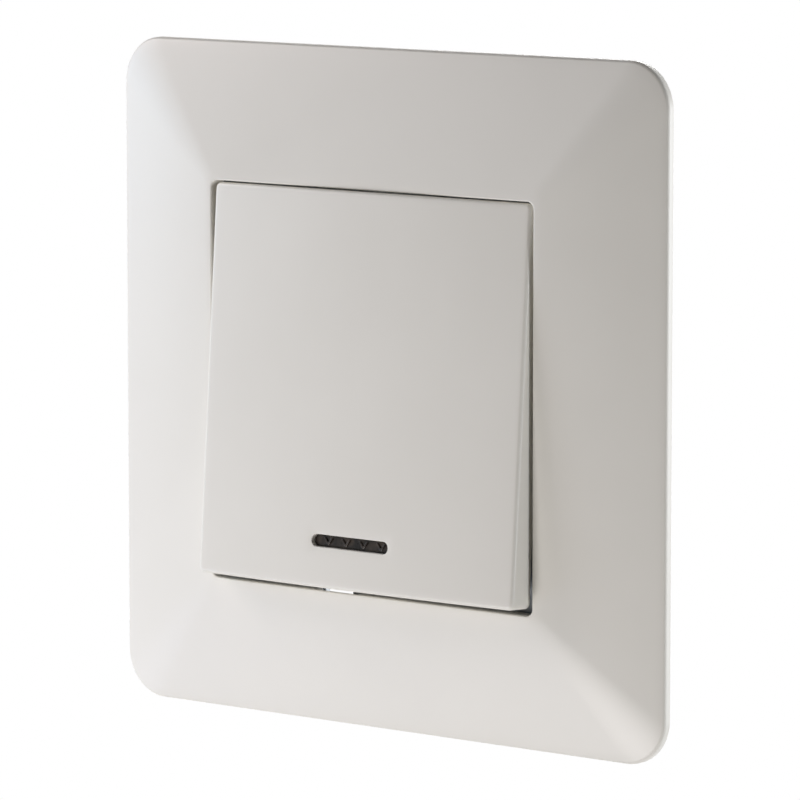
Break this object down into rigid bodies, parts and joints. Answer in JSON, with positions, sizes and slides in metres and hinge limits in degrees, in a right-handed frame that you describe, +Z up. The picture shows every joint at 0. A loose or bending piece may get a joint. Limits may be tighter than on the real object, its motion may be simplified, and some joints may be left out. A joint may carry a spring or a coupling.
{
  "type": "push button light switch",
  "caption": "Square flush wall switch: moulded cover frame, large tilting push plate with a dark indicator lens, and a boxed insert behind with a steel yoke, contacts and terminals.",
  "frame": {"origin": "centre of the cover frame on the wall's surface, where the yoke's back face also lies", "axes": "+X to the right seen from the room, +Y into the wall, +Z up"},
  "size_m": [0.085, 0.0321, 0.085],
  "materials": {
    "white_plastic": "satin moulded",
    "smoked_lens": "smoked, polished",
    "housing_plastic": "moulded grey",
    "zinc_steel": "zinc plated",
    "brass": "stamped",
    "silver_contact": "silver contact",
    "tinned_wire": "tinned",
    "lamp_glass": "clear",
    "resistor_body": "lacquered"
  },
  "bodies": {
    "insert_body": {"cover_frame": "white_plastic", "mounting_yoke": "zinc_steel", "switch_cover": "housing_plastic", "switch_base": "housing_plastic", "housing_screws": "zinc_steel", "pivot_pin": "zinc_steel", "return_spring": "zinc_steel", "fixed_contact_line": "brass", "fixed_contact_load": "brass", "fixed_contact_tips": "silver_contact", "terminal_block_line": "brass", "terminal_block_load": "brass", "terminal_block_neutral": "brass", "terminal_screws": "zinc_steel", "lamp_holder": "housing_plastic", "neon_lamp": "lamp_glass", "lamp_leads": "tinned_wire", "lamp_pin_neutral": "brass", "lamp_pin_load": "brass", "ballast_resistor": "resistor_body"},
    "rocker_body": {"rocker": "white_plastic", "lens": "smoked_lens", "rocker_cradle": "housing_plastic"},
    "slider_body": {"contact_carrier": "housing_plastic", "contact_bridge": "brass", "moving_contact_tips": "silver_contact"}
  },
  "joints": [
    {"name": "rocker_press", "type": "hinge", "parent": "insert_body", "child": "rocker_body", "pos_m": [0, -0.001, 0], "axis": [1, 0, 0], "range_deg": [0, 7], "stiffness_Nm_per_rad": 0.25, "springref_deg": -11.46},
    {"name": "contact_slide", "type": "slide", "parent": "insert_body", "child": "slider_body", "axis": [0, 1, 0], "range_m": [0, 0.0013], "deforming": ["return_spring"]}
  ],
  "couplings": [
    {"joint": "contact_slide", "follows": "rocker_press", "m_per_rad": 0.010635}
  ]
}
